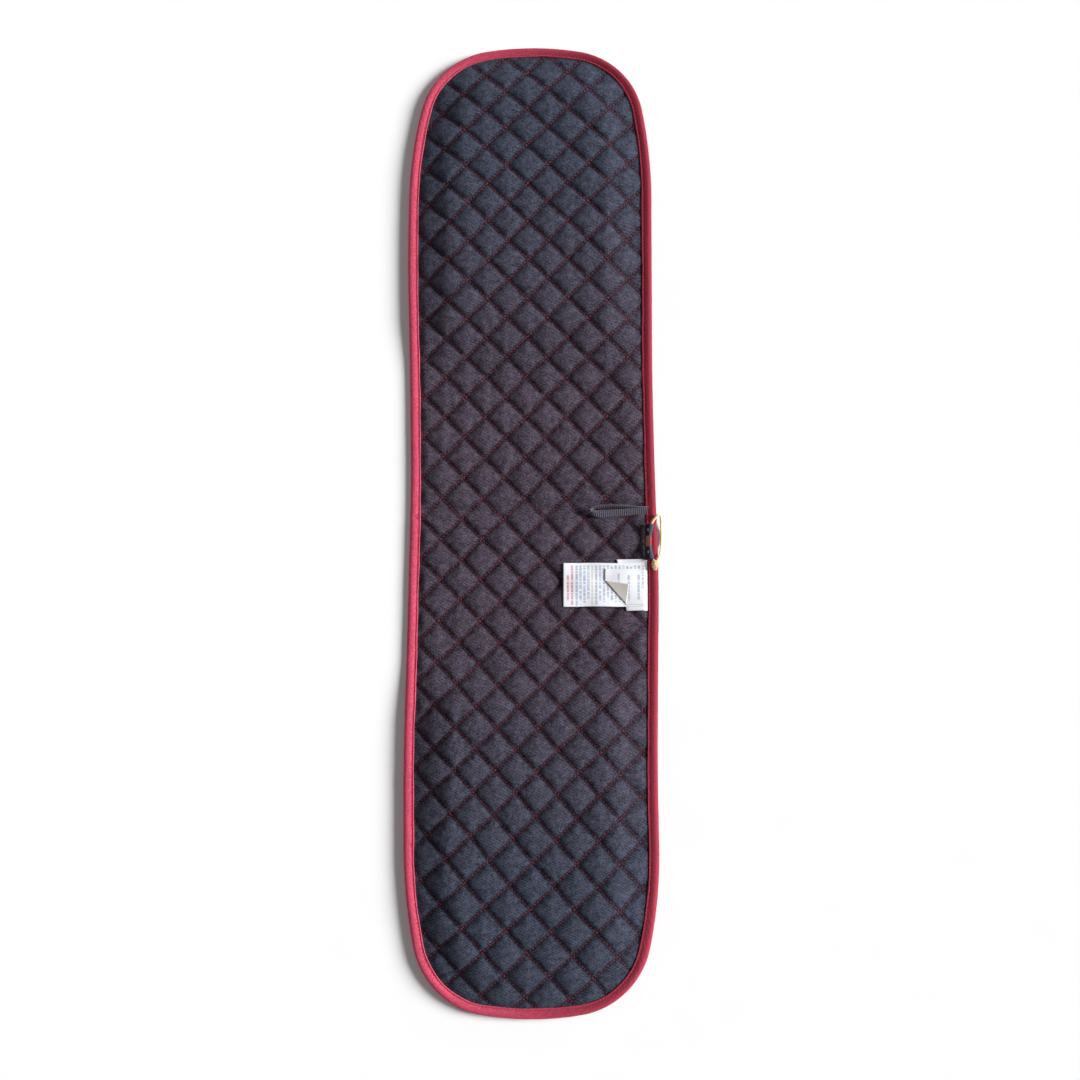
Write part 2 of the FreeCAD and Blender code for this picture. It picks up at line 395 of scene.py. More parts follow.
SIM_SCALE = 0.05  # Blender units for a millimetre while a cloth is simulated


def puff_by_simulation(x, y, faces, held):
    """Lets the cloth between the seams swell over its wadding. Returns how far each point moves."""
    rough = RNG.normal(0, 0.05, x.size)
    start = xyz(x, y, rough) * SIM_SCALE
    obj = new_mesh("simulated_cloth", start / MM, faces, None)
    group = obj.vertex_groups.new(name="held")
    group.add(np.nonzero(held)[0].tolist(), 1.0, "REPLACE")
    cloth = obj.modifiers.new("cloth", "CLOTH")
    settings = cloth.settings
    settings.vertex_group_mass = group.name
    settings.quality = 5
    settings.mass = 0.3
    settings.tension_stiffness = 15
    settings.compression_stiffness = 15
    settings.shear_stiffness = 5
    settings.bending_stiffness = 0.05
    settings.use_pressure = True
    settings.uniform_pressure_force = 4
    settings.shrink_min = -0.05
    settings.effector_weights.gravity = 0
    cloth.collision_settings.use_self_collision = False
    for number in range(1, 21):
        bpy.context.scene.frame_set(number)
    swollen = obj.evaluated_get(bpy.context.evaluated_depsgraph_get()).to_mesh()
    end = np.empty(x.size * 3, np.float32)
    swollen.vertices.foreach_get("co", end)
    bpy.data.objects.remove(obj)
    bpy.context.scene.frame_set(1)
    return (end.reshape(-1, 3) - start) / SIM_SCALE


def puff_by_formula(i, j):
    """The swelling between the seams without a simulation."""
    a, b = np.abs(np.sin(pi * i / CELL_STEPS)), np.abs(np.sin(pi * j / CELL_STEPS))
    moved = np.zeros((i.size, 3))
    moved[:, 2] = FULL_PUFF * (a * b) ** 0.55
    return moved


def puff(x, y, i, j, faces):
    """Movement of each point of a quilted cloth, as a share of a full puff."""
    seam = (i % CELL_STEPS == 0) | (j % CELL_STEPS == 0)
    moved = puff_by_simulation(x, y, faces, seam | (inset(x, y) < TAPE_WIDTH - 1))
    moved = moved / FULL_PUFF
    moved[:, 2] = np.clip(moved[:, 2], 0, 1.15) ** 0.85
    return moved


# ---- materials

class Nodes:
    """A short way to write a material's nodes."""

    def __init__(self, name):
        self.material = bpy.data.materials.new(name)
        self.material.use_nodes = True
        self.tree = self.material.node_tree
        self.shader = self.tree.nodes["Principled BSDF"]

    def add(self, kind, inputs=None, **settings):
        node = self.tree.nodes.new(kind)
        for key, value in settings.items():
            setattr(node, key, value)
        for key, value in (inputs or {}).items():
            self.give(node.inputs[key], value)
        return node

    def give(self, socket, value):
        if isinstance(value, bpy.types.NodeSocket):
            self.tree.links.new(value, socket)
        else:
            socket.default_value = value

    def math(self, operation, a, b=0.5, clamp=False):
        return self.add("ShaderNodeMath", {0: a, 1: b}, operation=operation, use_clamp=clamp).outputs[0]

    def times(self, a, b, clamp=False):
        return self.math("MULTIPLY", a, b, clamp)

    def plus(self, a, b, clamp=False):
        return self.math("ADD", a, b, clamp)

    def minus(self, a, b, clamp=False):
        return self.math("SUBTRACT", a, b, clamp)

    def above(self, a, b):
        return self.math("GREATER_THAN", a, b)

    def below(self, a, b):
        return self.math("LESS_THAN", a, b)

    def between(self, a, low, high):
        return self.times(self.above(a, low), self.below(a, high))

    def line(self, a, slope, start, clamp=False):
        """a times slope, plus start."""
        return self.plus(self.times(a, slope), start, clamp)

    def mix(self, share, a, b):
        """A colour that goes from a to b with share."""
        return self.add("ShaderNodeMix", {0: share, 6: a, 7: b}, data_type="RGBA").outputs[2]

    def split(self, vector):
        return self.add("ShaderNodeSeparateXYZ", {0: vector}).outputs

    def places(self, turn=0.0):
        """The surface's own coordinates, in millimetres, turned about Z."""
        own = self.add("ShaderNodeTexCoord").outputs["Object"]
        return self.add("ShaderNodeMapping", {0: own, 2: (0, 0, turn), 3: (1 / MM,) * 3}).outputs[0]

    def noise(self, vector, scale, detail=3.0, rough=0.55):
        inputs = {"Vector": vector, "Scale": scale, "Detail": detail, "Roughness": rough}
        return self.add("ShaderNodeTexNoise", inputs).outputs[0]

    def waves(self, vector, pitch, distortion=0.0, direction="X"):
        """Ridges of 0 to 1, one for each pitch in millimetres along X or Y."""
        inputs = {"Vector": vector, "Scale": pi / (10 * pitch), "Distortion": distortion}
        inputs.update({"Detail": 2.0, "Detail Scale": 1.5})
        return self.add("ShaderNodeTexWave", inputs, bands_direction=direction).outputs[1]

    def value(self, name):
        return self.add("ShaderNodeAttribute", attribute_name=name).outputs["Fac"]

    def bump(self, height, distance, strength):
        inputs = {"Height": height, "Distance": distance * MM, "Strength": strength}
        return self.add("ShaderNodeBump", inputs).outputs[0]

    def finish(self, colour, roughness, normal, sheen=0.3, sheen_tint=(1, 1, 1, 1), specular=0.2):
        self.give(self.shader.inputs["Base Color"], colour)
        self.give(self.shader.inputs["Roughness"], roughness)
        self.give(self.shader.inputs["Normal"], normal)
        self.shader.inputs["Sheen Weight"].default_value = sheen
        self.shader.inputs["Sheen Roughness"].default_value = 0.45
        self.shader.inputs["Sheen Tint"].default_value = sheen_tint
        self.shader.inputs["Specular IOR Level"].default_value = specular
        return self.material


def rgb(red, green, blue):
    """A colour given as on a screen, 0 to 255, as Blender's linear values."""
    linear = [((c / 255 + 0.055) / 1.055) ** 2.4 if c > 10 else c / 255 / 12.92 for c in (red, green, blue)]
    return (*linear, 1.0)


def twill_cloth():
    """Dark navy cotton twill: pale weft specks along fine diagonals, paler on the crowns of the puffs from
    wear and painted highlight, and painted shade along the quilting seams.

    It's a little bluer towards the glove's two ends.
    """
    m = Nodes("navy_twill")
    turned = m.places(turn=radians(-14))
    places = m.places()
    lines = m.waves(turned, 1.05, 1.6, "Y")
    threads = m.waves(turned, 0.62, 1.0, "X")
    speck = m.noise(places, 0.9, 2.0, 0.7)
    slow = m.noise(places, 0.018, 2.0)
    from_middle = m.math("ABSOLUTE", m.split(places)[1])
    ends = m.times(m.minus(from_middle, 90.0), 0.0055, True)
    dark = m.mix(ends, rgb(20, 15, 21), rgb(15, 17, 25))
    pale = m.mix(ends, rgb(108, 96, 113), rgb(90, 95, 115))
    mottle = m.noise(places, 0.22, 3.0, 0.6)
    weave = m.times(lines, m.line(threads, 0.35, 0.4))
    weave = m.plus(weave, m.times(m.minus(speck, 0.46), 1.75))
    weave = m.plus(weave, m.times(m.minus(mottle, 0.5), 1.1), True)
    lint = m.above(m.noise(places, 0.55, 1.0, 0.5), 0.835)
    colour = m.mix(m.times(weave, 0.8), dark, pale)
    colour = m.mix(m.times(lint, 0.5), colour, rgb(190, 190, 205))
    # Wear and painted highlight: patches of paler cloth on the crowns of the puffs.
    lightened = m.times(m.value("crown"), m.times(slow, 0.16))
    colour = m.mix(lightened, colour, pale)
    # Painted shade: the cloth darkens to near black along the quilting seams, where shade falls in the
    # grooves.
    colour = m.mix(m.times(m.value("groove"), 0.68), colour, rgb(10, 7, 11))
    normal = m.bump(weave, 0.14, 0.8)
    rough = m.line(weave, 0.1, 0.82)
    return m.finish(colour, rough, normal, 0.1, rgb(150, 150, 185), 0.1)


def binding_tape():
    """Crimson cotton tape, paler where it's rubbed, and with painted light: paler and pinker towards the
    glove's left and lower edges, darker towards its right.
    """
    m = Nodes("crimson_tape")
    places = m.places(turn=radians(40))
    straight = m.places()
    lines = m.waves(places, 0.75, 1.2, "X")
    speck = m.noise(straight, 0.62, 3.0, 0.8)
    slow = m.noise(straight, 0.05, 3.0)
    grain = m.plus(m.times(lines, 0.4), m.times(speck, 0.75))
    split = m.split(straight)
    # Painted light: the tape is paler and pinker towards the glove's left and lower edges and darker towards
    # its right, where it is lit differently.
    left = m.plus(m.times(split[0], -0.007), 0.35, True)
    left = m.plus(left, m.times(split[1], -0.0006, True))
    dark = m.mix(left, rgb(36, 2, 8), rgb(132, 26, 48))
    pale = m.mix(left, rgb(112, 15, 29), rgb(252, 106, 138))
    colour = m.mix(m.minus(m.times(grain, 3.3), 1.35, True), dark, pale)
    colour = m.mix(m.times(slow, 0.25), colour, rgb(160, 40, 62))
    colour = m.mix(m.times(m.value("rub"), 0.3), colour, rgb(192, 66, 90))
    normal = m.bump(grain, 0.12, 0.7)
    return m.finish(colour, m.line(speck, 0.15, 0.7), normal, 0.2, rgb(255, 190, 200), 0.15)


def sewing_thread(name, dark, pale):
    """Twisted thread."""
    m = Nodes(name)
    places = m.places(turn=radians(45))
    twist = m.waves(places, 0.35, 0.6, "X")
    patch = m.noise(m.places(), 0.2, 2.0)
    colour = m.mix(m.times(m.plus(twist, patch), 0.5), dark, pale)
    return m.finish(colour, m.line(twist, 0.1, 0.5), m.bump(twist, 0.05, 0.6), 0.1)


def loop_tape():
    """Ribbed navy tape: the ribs are in the mesh; their threads, with painted shade in the troughs between
    the ribs and painted highlight on their tops, are here.
    """
    m = Nodes("ribbed_navy_tape")
    places = m.places()
    rib = m.value("rib")
    speck = m.noise(places, 1.6, 3.0, 0.7)
    fibres = m.waves(places, 0.45, 1.5, "Y")
    # Painted shade and highlight: the colour follows the rib heights, near black in the troughs and pale on
    # the ribs, mixed with thread specks.
    mixed = m.plus(m.times(rib, 0.55), m.times(speck, 0.45))
    colour = m.mix(m.math("POWER", mixed, 1.6), rgb(4, 4, 8), rgb(126, 117, 138))
    height = m.plus(m.times(fibres, 0.4), m.times(speck, 0.6))
    return m.finish(colour, m.line(speck, 0.2, 0.65), m.bump(height, 0.1, 0.7), 0.25)


def satin(name, tone, print_rows):
    """White satin with rows of small dashes, one group for each entry of print_rows.

    An entry is where the group starts and ends along X, its lowest and highest Y, the pitch of its rows
    and their colour.
    """
    m = Nodes(name)
    places = m.places()
    fine = m.waves(places, 0.3, 0.3, "Y")
    slow = m.noise(places, 0.12, 3.0)
    colour = m.mix(m.times(slow, 0.6), tone, rgb(206, 209, 218))
    split = m.split(places)
    x, y = split[0], split[1]
    for start, end, low, high, pitch, ink in print_rows:
        row = m.math("DIVIDE", m.minus(x, start), pitch)
        in_row = m.below(m.math("FRACT", row), 0.6)
        code = {0: m.times(m.math("FLOOR", row), 7.31), 1: m.times(y, 1.15)}
        code = m.add("ShaderNodeCombineXYZ", code).outputs[0]
        dash = m.above(m.noise(code, 1.0, 1.0), 0.45)
        elsewhere = m.add("ShaderNodeVectorMath", {0: code, 1: (50, 3, 0)}).outputs[0]
        ragged = m.noise(elsewhere, 0.09, 0.0)
        stop = m.plus(m.times(ragged, 14.0), low - 8.0)
        within = m.times(m.between(x, start, end), m.between(y, stop, high))
        share = m.times(m.times(m.times(in_row, dash), within), m.value("printed"))
        colour = m.mix(m.times(share, 0.62), colour, ink)
    # The underside is greyer and beige: partly the satin's duller back, partly painted shade where the corner
    # is turned over.
    under = m.mix(m.times(slow, 0.6), rgb(178, 172, 166), rgb(214, 210, 204))
    colour = m.mix(m.value("printed"), under, colour)
    rough = m.line(fine, 0.08, 0.38)
    return m.finish(colour, rough, m.bump(fine, 0.03, 0.5), 0.1, specular=0.35)


def woven_ribbon():
    """Navy ribbon with a striped band across its middle: cream, tan, cream, then red towards the fold."""
    m = Nodes("woven_ribbon")
    places = m.places()
    y = m.split(places)[1]
    low, high = node_box("side_label")
    band = m.between(y, *(low[1] + (high[1] - low[1]) * share for share in (0.34, 0.65)))
    across = m.value("across")
    cream, tan, red = rgb(190, 166, 130), rgb(66, 42, 30), rgb(132, 14, 28)
    stripes = m.add("ShaderNodeValToRGB", {0: across})
    stripes.color_ramp.interpolation = "CONSTANT"
    while len(stripes.color_ramp.elements) < 6:
        stripes.color_ramp.elements.new(0.5)
    stops = ((0.0, tan), (0.3, cream), (0.4, tan), (0.48, cream), (0.58, tan), (0.66, red))
    for element, (at, tone) in zip(stripes.color_ramp.elements, stops):
        element.position = at
        element.color = tone
    picks = m.waves(places, 0.4, 0.4, "Y")
    warps = m.waves(places, 0.35, 0.4, "X")
    weave = m.times(picks, warps)
    # Painted highlight: the navy turns paler and bluer towards the fold, where the ribbon curls up into the
    # light.
    outer = m.times(m.minus(across, 0.76), 9.0, True)
    navy = m.mix(outer, rgb(14, 16, 32), rgb(36, 44, 74))
    spot_x = m.times(m.math("ABSOLUTE", m.minus(across, 0.55)), 9.0)
    for at in (low[1] + 4.6, high[1] - 4.6):
        spot_y = m.times(m.math("ABSOLUTE", m.minus(y, at)), 0.75)
        lozenge = m.below(m.plus(spot_x, spot_y), 1.0)
        navy = m.mix(m.times(lozenge, 0.75), navy, rgb(196, 174, 120))
    colour = m.mix(band, navy, stripes.outputs[0])
    colour = m.mix(m.times(weave, 0.35), colour, rgb(12, 12, 20))
    return m.finish(colour, m.line(weave, 0.2, 0.5), m.bump(weave, 0.08, 0.8), 0.15, specular=0.3)


def straw_string():
    """Fibrous straw-coloured twine."""
    m = Nodes("straw_string")
    places = m.places()
    fibre = m.noise(places, 1.8, 4.0, 0.7)
    slow = m.noise(places, 0.25, 2.0)
    colour = m.mix(fibre, rgb(170, 136, 90), rgb(255, 234, 186))
    colour = m.mix(m.times(slow, 0.5), colour, rgb(226, 194, 140))
    return m.finish(colour, m.line(fibre, 0.2, 0.55), m.bump(fibre, 0.06, 0.7), 0.2)


TWILL = twill_cloth()
TAPE_RED = binding_tape()
THREAD = sewing_thread("crimson_thread", rgb(76, 10, 24), rgb(186, 62, 88))
TAPE_THREAD = sewing_thread("binding_thread", rgb(130, 20, 38), rgb(214, 80, 104))

# ---- camera, floor and light

CAMERA_AWAY = 1062.0  # from the camera to the glove, along its line of sight
CAMERA_TILT = radians(6.47)
LOOK_AT = (6.4, -19.6, 6.0)
LENS = 46.67


def camera():
    """Looks down on the glove from a little towards its lower end."""
    data = bpy.data.cameras.new("camera")
    data.lens = LENS
    data.sensor_width = 36
    obj = put("camera", data)
    back = Vector((0, -sin(CAMERA_TILT), cos(CAMERA_TILT)))
    obj.location = (Vector(LOOK_AT) + back * CAMERA_AWAY) * MM
    obj.rotation_euler = (CAMERA_TILT, 0, 0)
    bpy.context.scene.camera = obj


def floor():
    """A plain pale floor."""
    m = Nodes("pale_floor")
    grain = m.noise(m.places(), 0.02, 2.0)
    colour = m.mix(grain, (0.86, 0.86, 0.86, 1), (0.9, 0.9, 0.9, 1))
    m.finish(colour, 0.9, m.bump(grain, 0.02, 0.1), 0.0, specular=0.0)
    half = 4000
    corners = [(-half, -half, 0), (half, -half, 0), (half, half, 0), (-half, half, 0)]
    new_mesh("floor", corners, [(0, 1, 2, 3)], m.material)


def lamp(name, kind, place, power, softness):
    """A light that points at the middle of the glove."""
    data = bpy.data.lights.new(name, kind)
    data.energy = power
    if kind == "SUN":
        data.angle = softness
    else:
        data.size = softness
    obj = put(name, data)
    obj.location = place
    obj.rotation_euler = (-Vector(place)).to_track_quat("-Z", "Y").to_euler()


def lights():
    """A low key light from the right, a weak one overhead, and a room that is brightest near the floor."""
    lamp("key", "SUN", (2.55, 0.3, 1.2), 6.9, radians(26))
    lamp("fill", "AREA", (-0.5, 0.9, 2.2), 4, 1.8)
    world = bpy.data.worlds.new("studio")
    bpy.context.scene.world = world
    world.use_nodes = True
    tree = world.node_tree
    way = tree.nodes.new("ShaderNodeTexCoord").outputs["Generated"]
    split = tree.nodes.new("ShaderNodeSeparateXYZ")
    ramp = tree.nodes.new("ShaderNodeValToRGB")
    tree.links.new(way, split.inputs[0])
    tree.links.new(split.outputs[2], ramp.inputs[0])
    # By the height of a direction of length 1: white up to the first place, dim grey from the second
    low, high = ramp.color_ramp.elements
    low.position, low.color = 0.1, (1, 1, 1, 1)
    high.position, high.color = 0.3, (0.13, 0.13, 0.13, 1)
    tree.links.new(ramp.outputs[0], tree.nodes["Background"].inputs[0])


camera()
floor()
lights()
bpy.context.scene.view_settings.view_transform = "Standard"

# ---- quilted pad

LEAN = 0.36  # how far the puffs lean to the left for their height, and 0.7 of it towards the lower end
HANG = 1.9  # how far the front cloth hangs between the seams, where there's room
TABLE_GAP = 0.12  # the least height of a cloth over the table


def across_fold(obj):
    """Bakes the object's placement into its mesh."""
    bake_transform(obj)


def groove(i, j):
    """1 at a seam, falling to 0 beside it: where the cloth gets painted shade."""
    gap_i = np.abs((i + CELL_STEPS / 2) % CELL_STEPS - CELL_STEPS / 2)
    gap_j = np.abs((j + CELL_STEPS / 2) % CELL_STEPS - CELL_STEPS / 2)
    return np.clip(1 - np.minimum(gap_i, gap_j) / 1.2, 0, 1)


def quilted_pad():
    """The pad, as one closed form: its back puffs up between the seams and its front hangs a little."""
    x, y, i, j, faces = cut_cloth(lambda x, y: inset(x, y) > CLOTH_EDGE)
    swell = puff(x, y, i, j, faces)
    low, high = pad_levels(x, y)
    loft = smooth((inset(x, y) - TAPE_WIDTH + 1.5) / 7)
    flat = 1 - 0.6 * np.clip(crease(x, y), 0, 1)
    rise = swell[:, 2] * loft
    top = xyz(x, y, high + PUFF * rise * flat)
    top[:, 0] += swell[:, 0] * 2 - LEAN * PUFF * rise
    top[:, 1] += swell[:, 1] * 2 - LEAN * 0.7 * PUFF * rise
    hang = np.minimum(HANG * rise, low - TABLE_GAP)
    bottom = xyz(x, y, low - hang * np.where(rise > 0, 1, 0))
    points, quads = closed_pad(top, bottom, faces)
    pad = new_mesh("quilted_pad", points, quads, TWILL)
    # How much wear and painted highlight each point gets on the puffs' crowns.
    crown = smooth((swell[:, 2] - 0.35) / 0.6)
    point_value(pad, "crown", np.tile(crown, 2))
    # How much painted shade each point gets along the seams.
    point_value(pad, "groove", np.tile(groove(i, j), 2))
    layers = ("back_cloth", "wadding", "front_cloth")
    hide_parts(*[layer + half for layer in layers for half in ("_lower", "_upper")])
    across_fold(pad)
    return pad


# ---- stitches

STITCH_LENGTH = 2.15
STITCH_RADIUS = 0.24
TAPE_STITCH_RADIUS = 0.2
# Along a stitch: the share of its half length, its lift in millimetres and its relative thickness
STITCH_ARCH = ((-1.0, -0.25, 0.55), (-0.45, 0.22, 1.0), (0.45, 0.22, 1.0), (1.0, -0.25, 0.55))


def stitch_mesh(name, runs, material, radius=STITCH_RADIUS):
    """Arched threads. A run is their places, their directions, and 1 on a form's top or -1 underneath."""
    places, along = (np.concatenate([run[part] for run in runs]) for part in (0, 1))
    signs = np.concatenate([np.full(len(run[0]), run[2], float) for run in runs])
    along = unit(along)
    up = at_height(np.zeros((len(places), 2)), signs)
    up = unit(up - along * (up * along).sum(1, keepdims=True))
    side = np.cross(along, up)
    rings = []
    for share, lift, thick in STITCH_ARCH:
        centre = places + along * (share * STITCH_LENGTH / 2) + up * lift
        for turn in range(4):
            angle = pi / 4 + turn * pi / 2
            rings.append(centre + (side * cos(angle) + up * sin(angle)) * radius * thick)
    points = np.stack(rings, 1)
    count = len(STITCH_ARCH)
    quads = []
    for first in range(0, 4 * count - 4, 4):
        quads += [[first + a, first + (a + 1) % 4, first + 4 + (a + 1) % 4, first + 4 + a] for a in range(4)]
    quads += [[3, 2, 1, 0], [4 * count - 4, 4 * count - 3, 4 * count - 2, 4 * count - 1]]
    offsets = np.arange(len(places))[:, None, None] * 4 * count
    faces = (np.array(quads)[None] + offsets).reshape(-1, 4)
    return new_mesh(name, points.reshape(-1, 3), faces, material)


def seam_lines(keep):
    """Evenly spaced places along every quilting seam, with the seam's direction there."""
    places, ways = [], []
    for own, other in ((SEAMS_U, SEAMS_V), (SEAMS_V, SEAMS_U)):
        for number in own:
            t = np.linspace(other[0], other[-1], 1200)
            fixed = np.full_like(t, number)
            u, v = (fixed, t) if own is SEAMS_U else (t, fixed)
            line = np.stack(waver(*place(u, v)), -1)
            walked = walk(line)
            at = np.arange(number % 3 * 0.8, walked[-1], STITCH_PITCH)
            here, ahead = resample(at, walked, line), resample(at + 0.1, walked, line)
            ok = keep(*here.T)
            places.append(here[ok])
            ways.append((ahead - here)[ok])
    return np.concatenate(places), np.concatenate(ways)


def rise_along(skin, places, ways):
    """Directions of the seams, sloped to follow a skin of the pad: 0 is its front, 1 its back."""
    ways = unit(ways)
    ahead, behind = (pad_levels(*near.T)[skin] for near in (places + ways, places - ways))
    return at_height(ways, (ahead - behind) / 2)


def quilting_stitches():
    """The quilting's thread, on both faces of the pad."""
    places, ways = seam_lines(lambda x, y: inset(x, y) > TAPE_WIDTH + 0.4)
    shift = RNG.normal(0, 0.09, places.shape)
    for name, skin, sign in (("back_quilting", 1, 1), ("front_quilting", 0, -1)):
        points = at_height(places + shift, pad_levels(*places.T)[skin] + sign * 0.15)
        obj = stitch_mesh(name, [(points, rise_along(skin, places, ways), sign)], THREAD)
        across_fold(obj)


# ---- edge binding

def binding_profile():
    """The section of the folded tape, from its lip on the top, round the edge, to its lip underneath.

    Each place is how far inside the glove's edge it is, its height as a share of the gripped cloth,
    0 underneath to 1 on top, and its distance outside that cloth in millimetres, below zero underneath.
    """
    top = [(8.0, 0.15), (8.05, 0.55), (7.75, 0.95), (7.3, 0.9), (6.95, 0.62), (STITCH_INSET, 0.5)]
    top += [(6.4, 0.66), (5.6, 0.9), (4.6, 1.04), (3.6, 1.08), (2.6, 1.0), (1.7, 0.8), (0.95, 0.4)]
    ring = [(depth, 1.0, extra) for depth, extra in top]
    ring += [(0.35, 0.82, 0.1), (0.0, 0.5, 0.0), (0.35, 0.18, -0.1)]
    ring += [(depth, 0.0, -min(extra, 0.72)) for depth, extra in top[::-1]]
    return ring


# The side that a crease across the binding is on, its place along Y, and its depth
BINDING_CREASES = ((1, 22.0, 0.6), (1, 8.5, 0.5), (-1, -2.0, 0.9), (-1, 12.0, 0.4))
BINDING_CREASES += ((1, -52.0, 0.25), (-1, 150.0, 0.3))


def edge_binding():
    """The tape folded over the glove's edge, all round."""
    points, normals = outline(1.0)
    walked = walk(points)
    high = edge_levels(points[:, 1])[1]
    low = np.full_like(high, 0.78)
    ripple = 0.1 * np.sin(walked * 2 * pi / 7.3 + 2 * np.sin(walked / 31)) + 0.12 * np.sin(walked / 9.1)
    pucker = 0.1 * np.sin(walked * 2 * pi / STITCH_PITCH)
    curl = smooth((np.abs(points[:, 1]) - 260) / 60)
    wide = 0.18 * np.sin(walked / 17) + 0.12 * np.sin(walked / 5.3)
    dent = np.zeros(len(points))
    for side, at, deep in BINDING_CREASES:
        near = np.sign(points[:, 0]) == side
        dent += near * deep * bell((points[:, 1] - at) / 1.6)
    rings, rub = [], []
    for depth, share, extra in binding_profile():
        soft = bell((depth - STITCH_INSET) / 1.2)
        body = bell((depth - 3.8) / 2.4)
        skewed = np.roll(ripple, int(2 * depth))
        z = low + (high - low) * share + extra
        z = z + np.sign(extra) * (pucker * soft + skewed * (0.5 + curl) * body - dent * body)
        where = points - normals * (depth + wide * smooth((depth - 5) / 3))[:, None]
        x, y = warp(where[:, 0], where[:, 1])
        rings.append(xyz(x, y, np.maximum(z, 0.02)))
        lightened = 1.0 if depth > 7.2 or 0.9 < depth < 2.7 else 0.25
        rub.append(np.full(len(points), lightened if share > 0.5 else 0.2))
    sections = np.stack(rings, 1)
    sections = np.concatenate([sections, sections[:1]])
    flat, quads = tube(sections, ends=False)
    whole = len(points) * len(rings)
    obj = new_mesh("edge_binding", flat[:whole], quads % whole, TAPE_RED)
    point_value(obj, "rub", np.stack(rub, 1).ravel())
    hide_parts("edge_binding_lower", "edge_binding_upper")
    across_fold(obj)


def binding_stitches():
    """The row of topstitching that holds the tape, on both faces."""
    points, normals = outline(STITCH_PITCH)
    line = np.stack(warp(*(points - normals * STITCH_INSET).T), -1)
    ways = at_height(np.roll(line, -1, axis=0) - np.roll(line, 1, axis=0), 0)
    top = edge_levels(line[:, 1])[1] + 0.62
    runs = [(at_height(line, top), ways, 1), (at_height(line, 0.3), ways, -1)]
    obj = stitch_mesh("binding_stitches", runs, TAPE_THREAD, TAPE_STITCH_RADIUS)
    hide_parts("binding_thread_lower", "binding_thread_upper")
    across_fold(obj)


# ---- pockets

POCKET_SEAM, POCKET_INNER = 1.35, 2.6  # heights of a pocket's two cloths at its seams


def opens_with(obj):
    """Bakes the object's placement into its mesh."""
    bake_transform(obj)


def on_side(x, y, side):
    """True on one side of a zigzag of quilting seams down the middle of the glove."""
    u, v = lattice(x, y)
    return (np.floor(u + 1e-6) + np.floor(v + 1e-6) >= 1) == (side > 0)


def pocket_skins(x, y, rise):
    """Heights of a pocket's inner and outer cloths."""
    edge = smooth((inset(x, y) - TAPE_WIDTH + 1.5) / 6) * smooth((np.abs(y) - MOUTH_Y - TAPE_WIDTH + 2) / 6)
    inner = POCKET_INNER + 0.85 * rise * edge
    return inner, POCKET_SEAM - (POCKET_SEAM - TABLE_GAP) * rise * edge - 0.45 * (1 - edge)


def pocket(end, away):
    """One pocket, as two panels that meet in its middle. away is -1 at the lower end, 1 at the upper."""
    replaced = [f"{name}_{end}" for name in ("pocket_face", "pocket_wadding", "pocket_lining", "pocket_rim")]
    cut = cut_cloth(lambda x, y: (inset(x, y) > CLOTH_EDGE) & (y * away > MOUTH_Y + 1.5))
    for side, hand in ((-1, "left"), (1, "right")):
        x, y, i, j, faces = cut
        used, faces = compact(faces[on_side(x[faces].mean(1), y[faces].mean(1), side)])
        x, y, i, j = x[used], y[used], i[used], j[used]
        rise = np.clip(puff_by_formula(i, j)[:, 2] / FULL_PUFF, 0, 1)
        points, quads = closed_pad(*(xyz(x, y, z) for z in pocket_skins(x, y, rise)), faces)
        panel = new_mesh(f"pocket_{end}_{hand}", points, quads, TWILL)
        # The faces after the two skins are the rim, which stays flat so that it doesn't shade the skins
        panel.data.polygons.foreach_set("use_smooth", np.arange(len(quads)) < 2 * len(faces))
        # How much wear and painted highlight each point gets on the puffs' crowns.
        point_value(panel, "crown", np.tile(rise * 0.4, 2))
        # How much painted shade each point gets along the seams.
        point_value(panel, "groove", np.tile(groove(i, j), 2))
        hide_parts(*replaced)
        opens_with(panel)
        sew_pocket(end, hand, side, away)
        bind_mouth(end, hand, side, away)


def sew_pocket(end, hand, side, away):
    """The quilting's thread on one side of a pocket."""
    def keep(x, y):
        inside = (inset(x, y) > TAPE_WIDTH + 0.4) & (y * away > MOUTH_Y + TAPE_WIDTH + 0.6)
        return inside & (x * side > 0)

    places, ways = seam_lines(keep)
    flat = at_height(ways, 0)
    outer, inner = at_height(places, POCKET_SEAM - 0.15), at_height(places, POCKET_INNER + 0.15)
    runs = [(outer, flat, -1), (inner, flat, 1)]
    obj = stitch_mesh(f"pocket_quilting_{end}_{hand}", runs, THREAD)
    opens_with(obj)


